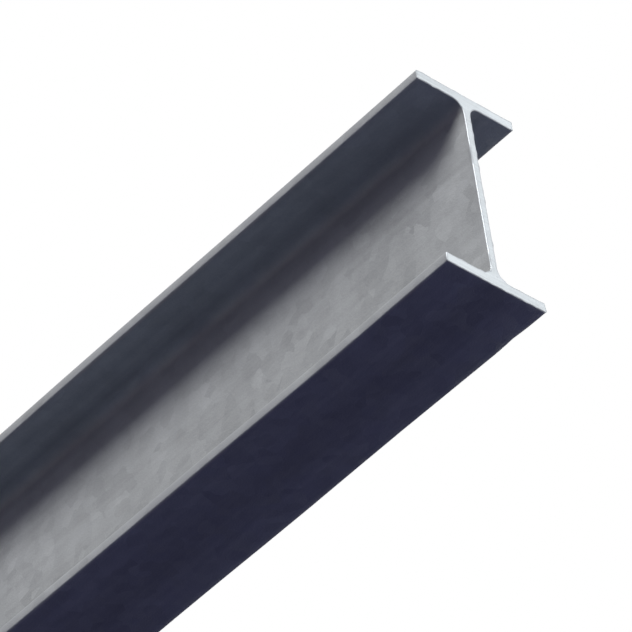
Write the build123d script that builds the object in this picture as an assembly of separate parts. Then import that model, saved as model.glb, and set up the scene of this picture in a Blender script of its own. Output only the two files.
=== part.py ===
from build123d import *
import os

# A hot-rolled steel i-beam of narrow parallel-flange section, one length of stock with a thin zinc skin.
# It stands on its bottom flange. X runs along the beam, Y across the flanges and Z up the web.
# The origin is under the middle of the length, at the centre of the bottom flange's underside.

# Driving dimensions, in millimetres.

# Stock length, from sawn end to sawn end.
LENGTH = 6000
# Overall depth, from the bottom flange's underside to the top flange's outer face.
DEPTH = 150
# Width of both flanges, from toe to toe.
WIDTH = 75
# Thickness of the upright web.
WEB = 5
# Thickness of each flange, the same from web to toe.
FLANGE = 7
# Hollow rounding that the rolls leave in the four corners between web and flanges.
ROOT_RADIUS = 8
# Small rounding on the eight long corners of the flange toes.
TOE_RADIUS = 1

# Two points nearer than this count as the same place.
SAME_PLACE = 0.001


def flange(side):
    """One flange of the section, the top one for side 1 and the bottom one for side -1."""
    return Pos(0, side * (DEPTH - FLANGE) / 2) * Rectangle(WIDTH, FLANGE)


def web():
    """The web of the section, from the middle of one flange to the middle of the other."""
    return Rectangle(WEB, DEPTH - FLANGE)


def corners_at(outline, distance):
    """The corners of an outline that lie this far out from the middle of the web, to either side."""
    return outline.vertices().filter_by(lambda corner: abs(abs(corner.X) - distance) < SAME_PLACE)


def rolled_section():
    """The whole profile, centred on the web, with its roots and toes rounded."""
    outline = flange(1) + flange(-1) + web()
    outline = fillet(corners_at(outline, WEB / 2), ROOT_RADIUS)
    return fillet(corners_at(outline, WIDTH / 2), TOE_RADIUS)


def i_beam():
    """The section carried straight along X, from one sawn end to the other, and stood on its bottom flange."""
    across_the_length = Plane((-LENGTH / 2, 0, DEPTH / 2), x_dir=(0, 1, 0), z_dir=(1, 0, 0))
    return extrude(across_the_length * rolled_section(), LENGTH)


os.makedirs("parts", exist_ok=True)
beam = i_beam()
beam.label = "i_beam"
export_step(beam, "parts/i_beam.step")
print("i_beam has a section of", round(beam.volume / LENGTH, 1), "square mm")
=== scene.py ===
# %% [markdown]
# A steel i-beam, dressed for its picture
#
# The object is one length of hot-rolled i-beam with a dull zinc skin and two sawn ends. Its construction
# comes in as a fixed frame, in metres: X runs along the beam, Y across the flanges and Z up the web, and it
# stands at z = 0. Nothing here moves or resizes it. This lesson makes the surface that the eye sees, and
# lights it.

# %% Load the frame
import math

import bmesh
import bpy
import numpy as np
from mathutils import Matrix, Vector


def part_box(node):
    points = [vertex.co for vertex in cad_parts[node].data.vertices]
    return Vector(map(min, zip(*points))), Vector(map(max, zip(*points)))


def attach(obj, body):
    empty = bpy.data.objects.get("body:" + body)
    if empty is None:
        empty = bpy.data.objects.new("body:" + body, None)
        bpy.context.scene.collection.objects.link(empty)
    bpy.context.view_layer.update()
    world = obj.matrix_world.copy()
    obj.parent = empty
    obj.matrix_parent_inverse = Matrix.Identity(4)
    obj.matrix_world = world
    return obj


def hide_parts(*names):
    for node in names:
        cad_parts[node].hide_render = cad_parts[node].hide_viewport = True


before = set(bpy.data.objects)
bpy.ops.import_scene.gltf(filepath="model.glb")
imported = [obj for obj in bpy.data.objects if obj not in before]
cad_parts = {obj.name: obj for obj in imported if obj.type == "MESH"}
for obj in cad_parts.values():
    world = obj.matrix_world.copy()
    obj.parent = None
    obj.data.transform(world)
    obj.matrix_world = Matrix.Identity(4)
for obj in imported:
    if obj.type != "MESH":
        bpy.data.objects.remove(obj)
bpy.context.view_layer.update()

low, high = (np.array(corner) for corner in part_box("i_beam"))
LENGTH, WIDTH, DEPTH = high - low
HALF_LENGTH = LENGTH / 2
print("the beam measures", LENGTH.round(3), "by", WIDTH.round(3), "by", DEPTH.round(3), "m")

# %% [markdown]
# The camera
#
# The beam is seen from below, near one sawn end, with its length running away to the lower left. The camera
# keeps that viewing direction, its lean and its distance, and a long lens fills the picture with the near
# part. Giving the direction as azimuth, elevation and roll is easier to read and to change than a rotation
# matrix.

# %% Point the camera
AZIMUTH = math.radians(43.5)
ELEVATION = math.radians(-42.1)
ROLL = math.radians(-8.0)
# The camera's place, seen from the foot of the near end.
FROM_NEAR_END = np.array([1.288, -1.505, -1.790])
LENS_MM = 275
FAR_CLIP = 1000

forward = np.array([
    -math.sin(AZIMUTH) * math.cos(ELEVATION),
    math.cos(AZIMUTH) * math.cos(ELEVATION),
    -math.sin(ELEVATION),
])
level_right = np.array([math.cos(AZIMUTH), math.sin(AZIMUTH), 0.0])
level_up = np.cross(level_right, forward)
right = math.cos(ROLL) * level_right + math.sin(ROLL) * level_up
up = np.cross(right, forward)

camera_data = bpy.data.cameras.new("camera")
camera_data.lens = LENS_MM
camera_data.clip_end = FAR_CLIP
camera = bpy.data.objects.new("camera", camera_data)
bpy.context.scene.collection.objects.link(camera)
stance = np.eye(4)
stance[:3] = np.column_stack([right, up, -forward, FROM_NEAR_END + (HALF_LENGTH, 0, 0)])
camera.matrix_world = Matrix(stance.tolist())
bpy.context.scene.camera = camera
print("camera at", stance[:3, 3].round(2), "looking along", forward.round(2))

# %% [markdown]
# The rolled section
#
# Rolls squeeze a glowing bar into this profile, which is then the same all along the beam. A quarter of its
# outline is enough, because it is the same on both sides and top and bottom. It has straight runs and two
# kinds of arc: the hollow root between web and flange, and the small rounding at the flange's toe.

# %% Draw the outline of the section
WEB = 0.005
FLANGE = 0.007
ROOT_RADIUS = 0.008
TOE_RADIUS = 0.001
ROOT_STEPS = 6
TOE_STEPS = 3
# About how far apart points lie on the straight runs.
RUN_STEP = 0.004
# Two points nearer than this count as one.
SAME_PLACE = 1e-6


def arc(middle, radius, start, end, steps):
    """Points round a middle: middle + radius (cos a, sin a), for angles a from start to end in degrees."""
    a = np.radians(np.linspace(start, end, steps + 1))
    return np.column_stack([middle[0] + radius * np.cos(a), middle[1] + radius * np.sin(a)])


def run(start, end):
    """Evenly spaced points on a straight line, with both ends."""
    steps = math.ceil(np.hypot(end[0] - start[0], end[1] - start[1]) / RUN_STEP)
    return np.linspace(start, end, steps + 1)


def quarter_outline():
    """From the web's mid height up the web, round the root, out along the flange, round the toe and back
    along the top to the middle, as runs and arcs put end to end."""
    inner = DEPTH / 2 - FLANGE
    root = (WEB / 2 + ROOT_RADIUS, inner - ROOT_RADIUS)
    toe = WIDTH / 2 - TOE_RADIUS
    pieces = [
        run((WEB / 2, 0), (WEB / 2, root[1])),
        arc(root, ROOT_RADIUS, 180, 90, ROOT_STEPS),
        run((root[0], inner), (toe, inner)),
        arc((toe, inner + TOE_RADIUS), TOE_RADIUS, -90, 0, TOE_STEPS),
        arc((toe, DEPTH / 2 - TOE_RADIUS), TOE_RADIUS, 0, 90, TOE_STEPS),
        run((toe, DEPTH / 2), (root[0], DEPTH / 2)),
        run((root[0], DEPTH / 2), (0, DEPTH / 2)),
    ]
    points = np.concatenate(pieces)
    new_place = np.linalg.norm(np.diff(points, axis=0, prepend=np.inf), axis=1) > SAME_PLACE
    return points[new_place]


def whole_outline():
    """The quarter and its three mirror images, in order round the section, each shared point once."""
    quarter = quarter_outline()
    upper = np.concatenate([quarter, (quarter * (-1, 1))[-2::-1]])
    lower = (upper * (-1, -1))[1:-1]
    return np.concatenate([upper, lower])


outline = whole_outline()
print("the outline has", len(outline), "points")

# %% [markdown]
# The beam's skin, as one grid
#
# A profile carried along a path gives the long faces. The two sawn ends could be separate flat faces, but a
# mesh with no seams is better. So the path starts on the far end's centre lines, spreads over that sawn
# face, runs the length and closes on the near end's centre lines. Each row of the grid is the outline,
# placed at some x, and drawn in by some share towards the centre lines of web and flanges. Rows go down the
# grid, and the outline goes across it.

# %% Lay out the rows
ROW_STEP = 0.04
ROWS_BY_AN_END = np.array([0.001, 0.003, 0.007, 0.015])
# A sawn edge is broken by this much, so that it catches the light.
ARRIS = 0.0004
# How far the rows of a sawn face are drawn in, from its centre lines out to its edge.
SPREADS = np.array([1.0, 0.6, 0.25, 0.0])
NICKS = 22
NICK_SHORTEST = 0.006
NICK_LONGEST = 0.016
# Where a nick has rows of its own, counted in its length from its middle.
ROWS_AT_A_NICK = np.linspace(-0.8, 0.8, 5)
# Rows that share a place to this many decimals, a hundredth of a millimetre, become one.
X_DECIMALS = 5
SEED = 7

random = np.random.default_rng(SEED)
nick_x = random.uniform(-HALF_LENGTH, HALF_LENGTH, NICKS)
nick_length = random.uniform(NICK_SHORTEST, NICK_LONGEST, NICKS)

FIRST_X, LAST_X = ARRIS - HALF_LENGTH, HALF_LENGTH - ARRIS
skin_x = np.concatenate([
    np.linspace(FIRST_X, LAST_X, round(LENGTH / ROW_STEP) + 1),
    HALF_LENGTH - ROWS_BY_AN_END,
    ROWS_BY_AN_END - HALF_LENGTH,
    (nick_x[:, None] + nick_length[:, None] * ROWS_AT_A_NICK).ravel(),
])
skin_x = np.unique(skin_x.clip(FIRST_X, LAST_X).round(X_DECIMALS))
row_x = np.concatenate([np.full(len(SPREADS), -HALF_LENGTH), skin_x, np.full(len(SPREADS), HALF_LENGTH)])
row_spread = np.concatenate([SPREADS, np.zeros(len(skin_x)), SPREADS[::-1]])
row_on_end = np.abs(row_x) == HALF_LENGTH
print(len(row_x), "rows, of which", len(skin_x), "lie along the length")

# %% [markdown]
# Rolled steel isn't quite straight
#
# A real flange wanders by a fraction of a millimetre along its length. That is far too small to change any
# size, but a long straight edge without it looks drawn, not rolled. Noise would do as well, but a few sines
# added up are easy to keep within a known height.

# %% Waves along the flanges and the web
FLANGE_WAVE = 0.0003
TOE_WAVE = 0.0004
WEB_WAVE = 0.0004
# The shortest and the longest wavelength of each.
FLANGE_WAVELENGTHS = (0.3, 2.5)
TOE_WAVELENGTHS = (0.15, 2.0)
WEB_WAVELENGTHS = (0.25, 1.5)
WAVES = 9


def wander(x, shortest, longest):
    """A sum of sines of x, with random phases and wavelengths from shortest to longest, about 1 high."""
    length = np.exp(random.uniform(np.log(shortest), np.log(longest), WAVES))[:, None]
    phase = random.uniform(0, 2 * np.pi, WAVES)[:, None]
    return np.sin(2 * np.pi * x / length + phase).sum(0) / math.sqrt(WAVES)


def wave_rows(points):
    """Moves each half flange sideways and up or down, by a wave times the square of the way out to its toe,
    and the web sideways, by a wave times the squared cosine of the height, which is 1 at its middle."""
    y, z = outline.T
    way_out = (2 * np.abs(y) / WIDTH) ** 2
    for side, level in ((-1, -1), (-1, 1), (1, -1), (1, 1)):
        here = way_out * (np.sign(y) == side) * (np.sign(z) == level)
        points[:, :, 0] += TOE_WAVE * wander(row_x, *TOE_WAVELENGTHS)[:, None] * here
        points[:, :, 1] += FLANGE_WAVE * wander(row_x, *FLANGE_WAVELENGTHS)[:, None] * here
    mid_web = np.cos(np.pi * z / DEPTH) ** 2 * (np.abs(y) < WIDTH / 4)
    points[:, :, 0] += WEB_WAVE * wander(row_x, *WEB_WAVELENGTHS)[:, None] * mid_web


# y and z of every point: the same outline in each row, until something moves it.
section = np.repeat(outline[None], len(row_x), axis=0)
wave_rows(section)
print("the waves move the skin by up to", round(1000 * float(np.abs(section - outline).max()), 2), "mm")

# %% [markdown]
# Nicks and torn edges
#
# Chains and forks leave small nicks in the edges of the toes, and the saw leaves a ragged edge round each
# end. Both move the skin in or out along the outline's normals, which are square to the surface, so one
# number for each point is enough.

# %% Nicks
NICK_DEEPEST = 0.0006
NICK_SHALLOWEST = NICK_DEEPEST / 3
NICK_REACH = 0.003


def outward(points):
    """Unit normals of the outline: the mean of its two neighbouring runs, turned a quarter clockwise."""
    onward = np.roll(points, -1, axis=0) - points
    onward /= np.linalg.norm(onward, axis=1, keepdims=True)
    mean = onward + np.roll(onward, 1, axis=0)
    mean /= np.linalg.norm(mean, axis=1, keepdims=True)
    return np.column_stack([mean[:, 1], -mean[:, 0]])


def nick_rows(points):
    """Pushes the rows in by depth times a bell along x times a bell round one edge of a flange's toe."""
    for x, length in zip(nick_x, nick_length):
        corner = random.choice([-1, 1], 2) * (WIDTH / 2, DEPTH / 2)
        corner[1] -= np.sign(corner[1]) * FLANGE * random.integers(0, 2)
        around = np.exp(-(np.linalg.norm(outline - corner, axis=1) / NICK_REACH) ** 2)
        bell = np.exp(-((row_x - x) / (length / 2)) ** 2)
        depth = random.uniform(NICK_SHALLOWEST, NICK_DEEPEST)
        points -= (depth * bell[:, None] * around)[:, :, None] * normals


normals = outward(outline)
nick_rows(section)
print(NICKS, "nicks, the nearest", round(float(HALF_LENGTH - nick_x.max()), 2), "m from the near end")

# %% Torn edges
BURR = 0.0008
# The lift is the cube of a random number from this range, so most of an edge hardly rises.
BURR_RANGE = (-0.3, 1.0)


def tear_edges(points):
    """Pushes the rows out by BURR times a random lift, which fades as e to the power -(distance from the
    sawn face / ARRIS)."""
    by_an_end = np.exp(-(HALF_LENGTH - np.abs(row_x)) / ARRIS) * (row_spread == 0)
    lift = random.uniform(*BURR_RANGE, len(outline)) ** 3
    points += (BURR * by_an_end[:, None] * lift)[:, :, None] * normals


tear_edges(section)
print("the flaws move the skin by up to", round(1000 * float(np.abs(section - outline).max()), 2), "mm")

# %% [markdown]
# The sawn faces
#
# A sawn face closes on centre lines, which run halfway through the web and the flanges. Drawing the outline
# in towards them in a few steps fills the face with even rows. The small flaws fade on the way, so that the
# centre lines stay straight and close without a gap.

# %% Draw the end rows in
def centre_points(points):
    """For each outline point, the point of a centre line that its end face closes on: level with it on the
    web, beside it on a flange, and where the two lines cross for all points between the roots."""
    level = (DEPTH - FLANGE) / 2
    reach = (WIDTH - FLANGE) / 2
    root_y, root_z = WEB / 2 + ROOT_RADIUS, DEPTH / 2 - FLANGE - ROOT_RADIUS
    y, z = points.T
    on_web = np.abs(z) < root_z + SAME_PLACE
    on_flange = ~on_web & (np.abs(y) > root_y - SAME_PLACE)
    centre_y = np.where(on_flange, y.clip(-reach, reach), 0.0)
    return np.column_stack([centre_y, np.where(on_web, z, np.sign(z) * level)])


def draw_in(points):
    """point - arris times normal on the end rows, and then point + spread times (centre - point)."""
    broken = points - np.where(row_on_end, ARRIS, 0.0)[:, None, None] * normals
    return broken + row_spread[:, None, None] * (centre_points(outline) - broken)


rows = draw_in(section)
toe_line = rows[row_spread == 0, outline[:, 0].argmax(), 0]
print("one toe wanders over", round(1000 * float(np.ptp(toe_line)), 2), "mm")

# %% [markdown]
# From points to a mesh
#
# Each cell of the grid becomes a four-sided face, and the last column joins the first. Two attributes keep
# what the finishes ask for: how far a point of a sawn face lies inside its edge, and how near a point of the
# skin is to a root.

# %% Make the mesh
# Round a root, the nearness falls off over this distance.
ROOT_REACH = 0.012


def grid_faces(row_count, column_count):
    """Faces of a grid that closes across: cell (i, j) has corners (i, j), (i, j+1), (i+1, j+1), (i+1, j)."""
    number = np.arange(row_count * column_count).reshape(row_count, column_count)
    beside = np.roll(number, -1, axis=1)
    return np.stack([number[:-1], beside[:-1], beside[1:], number[1:]], axis=-1)


def put_attribute(mesh, name, values):
    """A number at each vertex of the mesh, for a finish to read."""
    attribute = mesh.attributes.new(name, "FLOAT", "POINT")
    attribute.data.foreach_set("value", values.ravel().astype(np.float32))


places = np.concatenate([np.broadcast_to(row_x[:, None, None], (*rows.shape[:2], 1)), rows], axis=2)
places[:, :, 2] += DEPTH / 2
faces = grid_faces(*rows.shape[:2])
mesh = bpy.data.meshes.new("rolled_beam")
mesh.from_pydata(places.reshape(-1, 3), [], faces.reshape(-1, 4).tolist())

inwards = np.linalg.norm(centre_points(outline) - outline, axis=1)
put_attribute(mesh, "inside_edge", row_spread[:, None] * inwards)
root_corner = np.array([WEB / 2, DEPTH / 2 - FLANGE])
from_root = np.linalg.norm(np.abs(outline) - root_corner, axis=1)
put_attribute(mesh, "near_root", np.tile(np.exp(-(from_root / ROOT_REACH) ** 2), (len(row_x), 1)))

cell_on_end = row_on_end[:-1] | row_on_end[1:]
mesh.polygons.foreach_set("material_index", np.repeat(cell_on_end, len(outline)).astype(np.int32))
print(len(mesh.polygons), "faces before the merge")

# %% [markdown]
# A map for the skin
#
# A map lays the skin out flat, for programs that keep its finish as a picture. Laid out whole, a beam eighty
# times as long as it is wide would leave nearly all of a square picture empty. So its skin is cut across at
# two places, and its three lengths lie side by side. The two sawn faces have a strip of their own, at a
# larger scale.

# %% Lay the skin out flat
FOLDS = 3
MARGIN = 0.006
# The sawn faces have this much of the map's height, each takes this much of its width for its depth, and
# the near end's starts here.
END_STRIP = 0.13
END_LONG = 0.45
NEAR_END_START = 0.5


def skin_map():
    """u goes along each fold's share of the length and v round the outline, with the folds stacked up."""
    lengths = np.linalg.norm(np.diff(outline, axis=0, append=outline[:1]), axis=1)
    across = np.r_[0.0, np.cumsum(lengths)] / lengths.sum()
    middle_x = (row_x[:-1] + row_x[1:]) / 2
    fold = np.floor((middle_x / LENGTH + 0.5) * FOLDS).clip(0, FOLDS - 1)
    tall = (1 - END_STRIP) / FOLDS
    u = np.stack([row_x[:-1], row_x[1:]], axis=1) / LENGTH + 0.5
    u = MARGIN + (1 - 2 * MARGIN) * (u * FOLDS - fold[:, None])
    v = fold[:, None] * tall + MARGIN + (tall - 2 * MARGIN) * across
    cells = np.empty((*faces.shape, 2))
    cells[:, :, (0, 1), 0] = u[:, None, 0, None]
    cells[:, :, (2, 3), 0] = u[:, None, 1, None]
    cells[:, :, (0, 3), 1] = v[:, :-1, None]
    cells[:, :, (1, 2), 1] = v[:, 1:, None]
    return cells


def end_map():
    """Each sawn face as it is, with its depth along u and its width along v, one beside the other."""
    corners = places.reshape(-1, 3)[faces]
    beside = np.where(corners[..., 0] > 0, NEAR_END_START, 0.0)
    u = MARGIN + beside + END_LONG * corners[..., 2] / DEPTH
    v = 1 - MARGIN - (END_STRIP - 2 * MARGIN) * (corners[..., 1] / WIDTH + 0.5)
    return np.stack([u, v], axis=-1)


layout = np.where(cell_on_end[:, None, None, None], end_map(), skin_map())
mesh.uv_layers.new(name="OFBake").data.foreach_set("uv", layout.ravel().astype(np.float32))
corners_flat = layout.reshape(-1, 2)
print("the map spans", corners_flat.min(0).round(3), "to", corners_flat.max(0).round(3))

# %% [markdown]
# Closing the skin
#
# The rows on the centre lines meet themselves there, so merging the points that share a place closes both
# ends, and faces that are left with no area go. A closed skin has two faces at every edge. Shading is
# smooth, apart from edges that turn sharply: the rounds look round, and the sawn edges stay crisp.

# %% Close the ends and finish the mesh
SHARP_TURN = math.radians(35)

work = bmesh.new()
work.from_mesh(mesh)
bmesh.ops.remove_doubles(work, verts=work.verts, dist=SAME_PLACE)
bmesh.ops.dissolve_degenerate(work, edges=work.edges, dist=SAME_PLACE)
open_edges = sum(len(edge.link_faces) != 2 for edge in work.edges)
work.to_mesh(mesh)
work.free()
mesh.shade_smooth()
mesh.set_sharp_from_angle(angle=SHARP_TURN)
mesh.validate()

beam = bpy.data.objects.new("rolled_beam", mesh)
bpy.context.scene.collection.objects.link(beam)
mesh.calc_loop_triangles()
print("open edges:", open_edges, "triangles:", len(mesh.loop_triangles))

# %% [markdown]
# Nodes in a few words
#
# A finish is a tree of shader nodes. Building one in Python takes many small steps, so short helpers do
# them, and the first of these adds a node and fills its inputs. The cells below work on one finish at a
# time: tree, shader and place always stand for the one in hand.
#
# The zinc skin comes first. It reads Object coordinates, which stay with the beam wherever it is.

# %% Start the zinc skin
def add(tree, kind, inputs=None, **settings):
    """A node of this kind, with its settings made, and each input given a number or linked to an output."""
    new = tree.nodes.new("ShaderNode" + kind)
    for name, value in settings.items():
        setattr(new, name, value)
    for name, value in (inputs or {}).items():
        if isinstance(value, bpy.types.NodeSocket):
            tree.links.new(value, new.inputs[name])
        else:
            new.inputs[name].default_value = value
    return new


def new_finish(name):
    """An empty material, its tree, its Principled shader and its Object coordinates."""
    material = bpy.data.materials.new(name)
    material.use_nodes = True
    tree = material.node_tree
    tree.nodes.clear()
    shader = add(tree, "BsdfPrincipled")
    add(tree, "OutputMaterial", {"Surface": shader.outputs[0]})
    return material, tree, shader, add(tree, "TexCoord").outputs["Object"]


zinc_skin, tree, shader, place = new_finish("weathered_zinc")
print("the zinc skin starts with", len(tree.nodes), "nodes")

# %% [markdown]
# Patterns of the skin
#
# Zinc that has stood outdoors turns from bright to a dull, even grey. Close up it isn't one grey: it is
# clouded and mottled, the rolls have left streaks along the steel, and it has run a little while it drained.
# Each of these is a noise. One with fewer features a metre along one axis is stretched that way, which turns
# spots into streaks along the beam or into runs down the web.

# %% Lay down the patterns
# Features a metre along X, Y and Z, detail and roughness of each noise.
ZINC_PATTERNS = {
    "clouds": ((2.5, 11, 11), 4, 0.5),
    "mottle": ((34, 40, 40), 5, 0.6),
    "streaks": ((1.6, 140, 140), 3, 0.5),
    "runs": ((75, 75, 5), 3, 0.5),
    "grain": ((900, 900, 900), 2, 0.5),
    "bloom": ((9, 26, 26), 6, 0.65),
    "wear": ((28, 90, 90), 4, 0.5),
}


def noise(tree, place, scale, detail, roughness):
    """A noise with so many features a metre along each axis."""
    mapped = add(tree, "Mapping", {"Vector": place, "Scale": scale}).outputs[0]
    inputs = {"Vector": mapped, "Scale": 1.0, "Detail": detail, "Roughness": roughness}
    return add(tree, "TexNoise", inputs).outputs[0]


patterns = {name: noise(tree, place, *numbers) for name, numbers in ZINC_PATTERNS.items()}
print("patterns of the zinc:", ", ".join(patterns))

# %% [markdown]
# Flakes
#
# Zinc sets in flat crystals, a centimetre or so across. They differ less in colour than in the way they
# face, so each is tipped by a degree or two. Tipping the shading normal does that cleanly. A bump pattern
# would need a step in height at every flake's border.

# %% Make the flakes
FLAKES_PER_M = 110
# Their borders are drawn with this much wobble, in metres.
FLAKE_WOBBLE = 0.005
WOBBLE_DETAIL = 2.0
# The normal gets up to half of this much sideways, where its own length is 1.
FLAKE_TIP = 0.09
# The mean of a noise's colour, and of the flakes' random colours.
MEAN_COLOUR = (0.5, 0.5, 0.5)


def on_vectors(tree, operation, inputs):
    """One sum on vectors, colours or outputs."""
    return add(tree, "VectorMath", inputs, operation=operation).outputs[0]


def around_zero(tree, colour, size):
    """(colour - its mean) times size, as a vector that points any way."""
    centred = on_vectors(tree, "SUBTRACT", {0: colour, 1: MEAN_COLOUR})
    return on_vectors(tree, "SCALE", {0: centred, "Scale": size})


wobble = add(tree, "TexNoise", {"Vector": place, "Scale": FLAKES_PER_M, "Detail": WOBBLE_DETAIL})
moved = on_vectors(tree, "ADD", {0: place, 1: around_zero(tree, wobble.outputs["Color"], FLAKE_WOBBLE)})
flakes = add(tree, "TexVoronoi", {"Vector": moved, "Scale": FLAKES_PER_M}).outputs["Color"]
patterns["flakes"] = add(tree, "SeparateColor", {0: flakes}).outputs[0]

smooth_normal = add(tree, "NewGeometry").outputs["Normal"]
tipped = on_vectors(tree, "ADD", {0: smooth_normal, 1: around_zero(tree, flakes, FLAKE_TIP)})
tipped = on_vectors(tree, "NORMALIZE", {0: tipped})
print("a flake is about", round(1000 / FLAKES_PER_M), "mm across")

# %% [markdown]
# One dull grey
#
# All the patterns are faint, so each only shifts one base grey by a few percent. Mixing colours one over
# another would wash the first ones out, while shifts that are added up all stay. Near each end the skin is a
# little lighter: partly where the saw has rubbed it, and partly painted light, for the light that reaches
# round the end.

# %% Colour the zinc
ZINC = (0.350, 0.361, 0.360)
# The saw's mark reaches this far back. A pattern counts from one half, so its range makes the skin up to
# The lighter band by each end, partly the saw's rubbing and partly painted light, reaches this far back. A
# pattern counts from one half, so its range makes the skin up to 8 percent lighter.
END_RUB_AND_LIGHT_REACH = 0.06
END_RUB_AND_LIGHT_RANGE = (0.5, 0.58)
# How strongly each pattern shifts the grey.
IN_COLOUR = {
    "clouds": 0.3,
    "mottle": 0.24,
    "streaks": 0.3,
    "runs": 0.2,
    "flakes": 0.1,
    "grain": 0.2,
    "end_rub_and_light": 1.0,
}


def calculate(tree, operation, a, b=0.0):
    """One sum on two numbers or outputs."""
    return add(tree, "Math", {0: a, 1: b}, operation=operation).outputs[0]


def limits(tree, value, old, new=(0.0, 1.0)):
    """value carried from the old range to the new one and stopped at its ends."""
    ranges = {"From Min": old[0], "From Max": old[1], "To Min": new[0], "To Max": new[1]}
    return add(tree, "MapRange", {"Value": value, **ranges}).outputs["Result"]


def total(tree, start, patterns, weights):
    """start plus, for every pattern with a weight, its departure from one half times that weight."""
    result = start
    for name, weight in weights.items():
        away = calculate(tree, "SUBTRACT", patterns[name], 0.5)
        result = calculate(tree, "ADD", result, calculate(tree, "MULTIPLY", away, weight))
    return result


def tinted(tree, colour, tone):
    """One colour made lighter or darker by a pattern around 1."""
    return on_vectors(tree, "SCALE", {0: colour, "Scale": tone})


x, y, z = add(tree, "SeparateXYZ", {0: place}).outputs
from_middle = calculate(tree, "ABSOLUTE", x)
# Lighter towards each end: the saw's rubbing, with painted light.
patterns["end_rub_and_light"] = limits(tree, from_middle, (HALF_LENGTH - END_RUB_AND_LIGHT_REACH, HALF_LENGTH), END_RUB_AND_LIGHT_RANGE)
colour = tinted(tree, ZINC, total(tree, 1.0, patterns, IN_COLOUR))
print("the grey is shifted by", ", ".join(IN_COLOUR))

# %% [markdown]
# What lies on the zinc, and darker roots
#
# A white bloom grows in patches where water stays, and the roots are darker in patches. These are other
# colours mixed over the grey, each by an amount that says where it is. A painted picture could say it too,
# but an amount worked out from noise is as sharp close by as far away.

# %% White bloom, and darker roots
BLOOM = (0.43, 0.44, 0.445, 1.0)
# Bloom starts at the first value of its noise, and is at its most at the second.
BLOOM_PATCHES = (0.56, 0.74)
BLOOM_AMOUNT = (0.0, 0.42)
ROOT_DARK = (0.14, 0.136, 0.132, 1.0)
ROOT_DARK_MOTTLE = (0.3, 0.7)
ROOT_DARK_AMOUNT = (0.12, 0.5)


def mix_colours(tree, amount, first, second):
    """first where amount is 0 and second where it is 1. A Mix node has its colour inputs at 6 and 7, and its
    colour output at 2."""
    return add(tree, "Mix", {0: amount, 6: first, 7: second}, data_type="RGBA").outputs[2]


bloom = limits(tree, patterns["bloom"], BLOOM_PATCHES, BLOOM_AMOUNT)
colour = mix_colours(tree, bloom, colour, BLOOM)
# The roots are made darker in patches.
near_root = add(tree, "Attribute", attribute_name="near_root").outputs["Fac"]
patchy = limits(tree, patterns["mottle"], ROOT_DARK_MOTTLE, ROOT_DARK_AMOUNT)
colour = mix_colours(tree, calculate(tree, "MULTIPLY", near_root, patchy), colour, ROOT_DARK)
print("bloom reaches", BLOOM_AMOUNT[1], "and grime", ROOT_DARK_AMOUNT[1], "of their full colour")

# %% [markdown]
# Faces that look down, and faces that look up
#
# The undersides of the flanges are made darker and bluer: this is painted shade, standing in for the dim
# light that reaches them. Dust settles on the bottom flange, which faces up. Both are found by asking which
# way the surface faces, so no mask has to be drawn, and they follow the shape if it changes.

# %% Painted shade on the undersides, and dust
# Faces that look down keep this share of each colour, as painted shade.
UNDERSIDE_SHADE = (0.69, 0.77, 0.88)
# The upward part of the normal, from where this starts to where it is full.
LOOKS_DOWN = (-0.3, -0.9)
LOOKS_UP = (0.3, 0.9)
DUST = (0.23, 0.222, 0.208, 1.0)
# Dust starts below the first height and is full at the second. Higher up, wind and rain take it.
DUSTY_HEIGHT = (DEPTH / 4, DEPTH / 8)
DUST_CLOUDS = (0.3, 0.65)
DUST_AMOUNT = (0.15, 0.55)

upward = add(tree, "SeparateXYZ", {0: add(tree, "TexCoord").outputs["Normal"]}).outputs["Z"]
# Painted shade: the colour is made darker and bluer where the surface looks down.
shaded = on_vectors(tree, "MULTIPLY", {0: colour, 1: UNDERSIDE_SHADE})
colour = mix_colours(tree, limits(tree, upward, LOOKS_DOWN), colour, shaded)

dusty = calculate(tree, "MULTIPLY", limits(tree, upward, LOOKS_UP), limits(tree, z, DUSTY_HEIGHT))
dust = calculate(tree, "MULTIPLY", dusty, limits(tree, patterns["clouds"], DUST_CLOUDS, DUST_AMOUNT))
colour = mix_colours(tree, dust, colour, DUST)
print("dust lies below", round(1000 * DUSTY_HEIGHT[0]), "mm, where the steel looks up")

# %% [markdown]
# Rubbed toes
#
# A beam is handled by its flanges, so slings, forks and other beams polish the edges of their toes. The
# rubbed band is found by its distance from the middle of the beam's width, and a noise breaks it up.

# %% Rub the toes
RUBBED = (0.32, 0.330, 0.338, 1.0)
# Rubbing starts this far from the edge of the toe, and is full at the second distance.
RUB_REACH = 0.0022
RUB_FULL = 0.0004
WEAR_NOISE = (0.35, 0.65)
WEAR_AMOUNT = (0.1, 0.8)

toe = limits(tree, calculate(tree, "ABSOLUTE", y), (WIDTH / 2 - RUB_REACH, WIDTH / 2 - RUB_FULL))
rubbed = calculate(tree, "MULTIPLY", toe, limits(tree, patterns["wear"], WEAR_NOISE, WEAR_AMOUNT))
tree.links.new(mix_colours(tree, rubbed, colour, RUBBED), shader.inputs["Base Color"])
print("the toes are rubbed over", 1000 * RUB_REACH, "mm")

# %% [markdown]
# Gloss and relief
#
# Weathered zinc is dull, and dullest where bloom or dust lies on it, while the rubbed toes shine a little.
# Its oxide skin hides most of the metal below, so hardly any of its light comes back as a metal's does. The
# patterns that colour it also raise it very slightly. A bump does that without any more faces.

# %% Gloss and relief of the zinc
DULLNESS = 0.64
# How strongly each pattern adds to the dullness.
IN_DULLNESS = {"mottle": 0.2, "flakes": 0.2, "streaks": -0.1}
RUBBED_LESS_DULL = 0.12
CHALKY_MORE_DULL = 0.3
METAL_SHARE = 0.1
MIRROR_LEVEL = 0.2
# The height of each pattern, in metres.
IN_RELIEF = {"grain": 0.00010, "mottle": 0.00022, "streaks": 0.00012, "runs": 0.00008}

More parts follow.
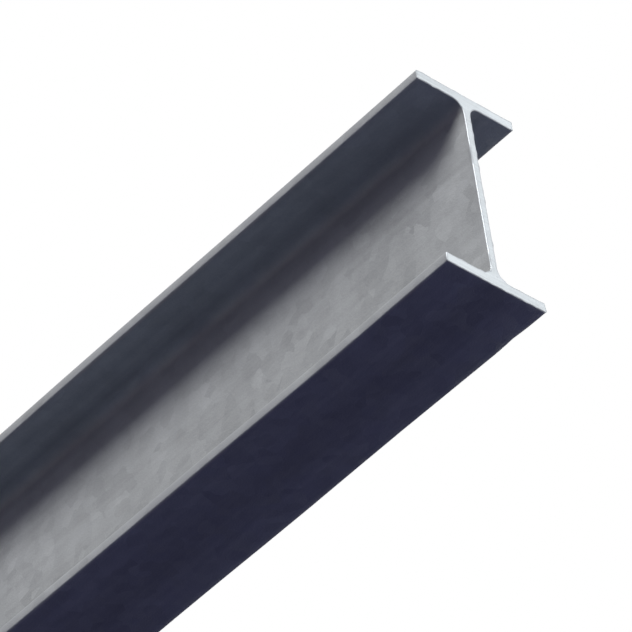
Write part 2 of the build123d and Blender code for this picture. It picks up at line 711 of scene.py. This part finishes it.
dullness = total(tree, DULLNESS, patterns, IN_DULLNESS)
dullness = calculate(tree, "SUBTRACT", dullness, calculate(tree, "MULTIPLY", rubbed, RUBBED_LESS_DULL))
chalky = calculate(tree, "MAXIMUM", bloom, dust)
dullness = calculate(tree, "ADD", dullness, calculate(tree, "MULTIPLY", chalky, CHALKY_MORE_DULL))
tree.links.new(dullness, shader.inputs["Roughness"])
shader.inputs["Metallic"].default_value = METAL_SHARE
shader.inputs["Specular IOR Level"].default_value = MIRROR_LEVEL


def raise_surface(tree, shader, height, more=None):
    """A bump in metres on the shader's normal, and more inputs for it where there are any."""
    bump = add(tree, "Bump", {"Height": height, "Distance": 1.0, "Strength": 1.0, **(more or {})})
    tree.links.new(bump.outputs[0], shader.inputs["Normal"])


raise_surface(tree, shader, total(tree, 0.0, patterns, IN_RELIEF), {"Normal": tipped})
print("the zinc skin has", len(tree.nodes), "nodes")

# %% [markdown]
# The sawn ends
#
# The saw cuts through zinc and steel alike and leaves bright metal, so the ends are far paler than the skin.
# Its teeth draw fine lines across the face, in the direction that the blade moved, and its edge is torn and
# a bit darker. Real grooves would need thousands of faces, so a stretched noise stands for the lines, and
# the attribute inside_edge says where the rim is.

# %% Make the sawn finish
SAWN = (0.63, 0.68, 0.69)
SAWN_DARK = (0.28, 0.30, 0.32, 1.0)
SAWN_PATTERNS = {
    "lines": ((60, 14, 620), 4, 0.7),
    "bands": ((60, 6, 95), 3, 0.5),
    "freckles": ((420, 420, 420), 4, 0.7),
}
IN_SAWN_COLOUR = {"lines": 0.6, "bands": 0.5, "freckles": 0.2}
# The dark rim is strongest as near to the edge as the first distance, and gone at the second.
RIM = (0.0003, 0.0009)
RIM_AMOUNT = (0.5, 0.0)
FRECKLE_NOISE = (0.62, 0.75)
FRECKLE_AMOUNT = (0.0, 0.55)

sawn_end, tree, shader, place = new_finish("sawn_end")
patterns = {name: noise(tree, place, *numbers) for name, numbers in SAWN_PATTERNS.items()}
bright = tinted(tree, SAWN, total(tree, 1.0, patterns, IN_SAWN_COLOUR))
inside = add(tree, "Attribute", attribute_name="inside_edge").outputs["Fac"]
rim = limits(tree, inside, RIM, RIM_AMOUNT)
spots = calculate(tree, "MAXIMUM", rim, limits(tree, patterns["freckles"], FRECKLE_NOISE, FRECKLE_AMOUNT))
tree.links.new(mix_colours(tree, spots, bright, SAWN_DARK), shader.inputs["Base Color"])
print("the sawn faces have", ", ".join(patterns), "and a dark rim", 1000 * RIM[1], "mm wide")

# %% Gloss and relief of the sawn ends
SAWN_DULLNESS = 0.5
IN_SAWN_DULLNESS = {"lines": 0.3, "freckles": 0.2}
SAWN_METAL_SHARE = 0.2
IN_SAWN_RELIEF = {"lines": 0.00012, "freckles": 0.00008}

tree.links.new(total(tree, SAWN_DULLNESS, patterns, IN_SAWN_DULLNESS), shader.inputs["Roughness"])
shader.inputs["Metallic"].default_value = SAWN_METAL_SHARE
raise_surface(tree, shader, total(tree, 0.0, patterns, IN_SAWN_RELIEF))
print("the sawn end has", len(tree.nodes), "nodes")

# %% [markdown]
# Dressing the beam
#
# The mesh's first material is the skin's and its second the sawn faces', as its faces' numbers expect. Then
# the beam is hung on the root body, so that it moves with it, and it is shown in place of the plain solid.

# %% Dress the beam
mesh.materials.append(zinc_skin)
mesh.materials.append(sawn_end)
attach(beam, "root")
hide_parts("i_beam")
print("the beam wears", [slot.material.name for slot in beam.material_slots])

# %% [markdown]
# Soft light from above
#
# The beam lies in plain studio light: a wide soft lamp high on the web's side, a weak one facing the near
# end and a weak one from behind. No lamp shines from below, which, with the painted shade on the zinc, is
# why the undersides are dark. Suns are used because their light is even along six metres, and a wide angle
# makes their shadows soft.

# %% Hang the lamps
# The direction that each shines from, its level and its width in degrees.
LAMPS = {
    "key": ((0.47, -0.57, 0.675), 1.22, 30),
    "end_fill": ((0.97, 0.10, 0.22), 0.35, 40),
    "back_fill": ((-0.40, 0.86, 0.30), 0.55, 60),
}


def soft_sun(name, towards, level, width_degrees):
    """A sun that shines from this direction. Its strength is level times pi, at which a white face that is
    turned to it renders at that level."""
    data = bpy.data.lights.new(name, "SUN")
    data.energy = level * math.pi
    data.angle = math.radians(width_degrees)
    lamp = bpy.data.objects.new(name, data)
    lamp.rotation_euler = Vector(towards).to_track_quat("Z", "Y").to_euler()
    bpy.context.scene.collection.objects.link(lamp)
    return lamp


lamps = [soft_sun(name, *numbers) for name, numbers in LAMPS.items()]
print("lamps:", {lamp.name: round(lamp.data.energy, 2) for lamp in lamps})

# %% [markdown]
# The world
#
# The background is white, and it must not light the beam as strongly as it shows. So the world looks at what
# asks: the camera and mirror-like rays see plain white, and the rest get a dim, bluish light. Hardly
# anything else reaches the beam's undersides.

# %% Build the world
SKY = (0.09, 0.09, 0.13, 1.0)
BELOW = (0.085, 0.077, 0.140, 1.0)
WHITE = (1, 1, 1, 1)
# The sky's light fades into that from below between these heights of a direction.
HORIZON = (-0.1, 0.1)


def any_of(tree, rays, *names):
    """1 for a ray of any of these kinds."""
    result = rays.outputs[names[0]]
    for name in names[1:]:
        result = calculate(tree, "MAXIMUM", result, rays.outputs[name])
    return result


world = bpy.data.worlds.new("studio")
world.use_nodes = True
bpy.context.scene.world = world
tree = world.node_tree
tree.nodes.clear()
towards = add(tree, "SeparateXYZ", {0: add(tree, "TexCoord").outputs["Generated"]})
light = mix_colours(tree, limits(tree, towards.outputs["Z"], HORIZON), BELOW, SKY)
seen = any_of(tree, add(tree, "LightPath"), "Is Camera Ray", "Is Glossy Ray", "Is Transmission Ray")
shown = mix_colours(tree, seen, light, WHITE)
background = add(tree, "Background", {"Color": shown, "Strength": 1.0})
add(tree, "OutputWorld", {"Surface": background.outputs[0]})
print("the world lights with", SKY[:3], "from above and", BELOW[:3], "from below")

# %% [markdown]
# The floor
#
# The floor is a wide pale disc under the beam. The camera looks up from below it, so its lower side lets
# everything through. Only the camera and mirror-like rays see its upper side, so it throws no light back up
# at the beam, and it shows the beam's shadow. Far away it fades to white.

# %% Make the floor's finish
FLOOR_GREY = (0.635, 0.635, 0.62, 1.0)
# Up to this distance the floor shows as it is. Beyond it, the share of white is the square of
# 1 - FADE_FROM / distance.
FADE_FROM = 4.0

floor_finish = bpy.data.materials.new("studio_floor")
floor_finish.use_nodes = True
tree = floor_finish.node_tree
tree.nodes.clear()
place = add(tree, "TexCoord").outputs["Object"]
distance = add(tree, "VectorMath", {0: place}, operation="LENGTH").outputs["Value"]
beyond = limits(tree, calculate(tree, "DIVIDE", FADE_FROM, distance), (1.0, 0.0))
fade = calculate(tree, "MULTIPLY", beyond, beyond)
matt = add(tree, "BsdfDiffuse", {"Color": FLOOR_GREY}).outputs[0]
glow = add(tree, "Emission", {"Color": WHITE, "Strength": 1.0}).outputs[0]
pale = add(tree, "MixShader", {0: fade, 1: matt, 2: glow}).outputs[0]

seen = any_of(tree, add(tree, "LightPath"), "Is Camera Ray", "Is Glossy Ray")
from_above = calculate(tree, "SUBTRACT", 1.0, add(tree, "NewGeometry").outputs["Backfacing"])
clear = add(tree, "BsdfTransparent").outputs[0]
surface = add(tree, "MixShader", {0: calculate(tree, "MULTIPLY", seen, from_above), 1: clear, 2: pale})
add(tree, "OutputMaterial", {"Surface": surface.outputs[0]})
print("the floor's finish has", len(tree.nodes), "nodes, and its fade starts", FADE_FROM, "m out")

# %% Lay the floor
FLOOR_DROP = 0.001
FLOOR_RADIUS = 600
FLOOR_SIDES = 96

turn = np.linspace(0, 2 * np.pi, FLOOR_SIDES, endpoint=False)
rim_x, rim_y = FLOOR_RADIUS * np.cos(turn), FLOOR_RADIUS * np.sin(turn)
floor_edge = np.column_stack([rim_x, rim_y, np.full(FLOOR_SIDES, -FLOOR_DROP)])
floor_mesh = bpy.data.meshes.new("studio_floor")
floor_mesh.from_pydata(floor_edge, [], [list(range(FLOOR_SIDES))])
floor_mesh.materials.append(floor_finish)
floor = bpy.data.objects.new("studio_floor", floor_mesh)
bpy.context.scene.collection.objects.link(floor)
print("the floor lies", 1000 * FLOOR_DROP, "mm under the beam and reaches", FLOOR_RADIUS, "m")

# %% [markdown]
# Finishing
#
# The Standard view shows each colour about as it is written. The two boxes are kept, so that the dressed
# beam can be compared with the solid that it stands for.

# %% Finish
bpy.context.scene.view_settings.view_transform = "Standard"
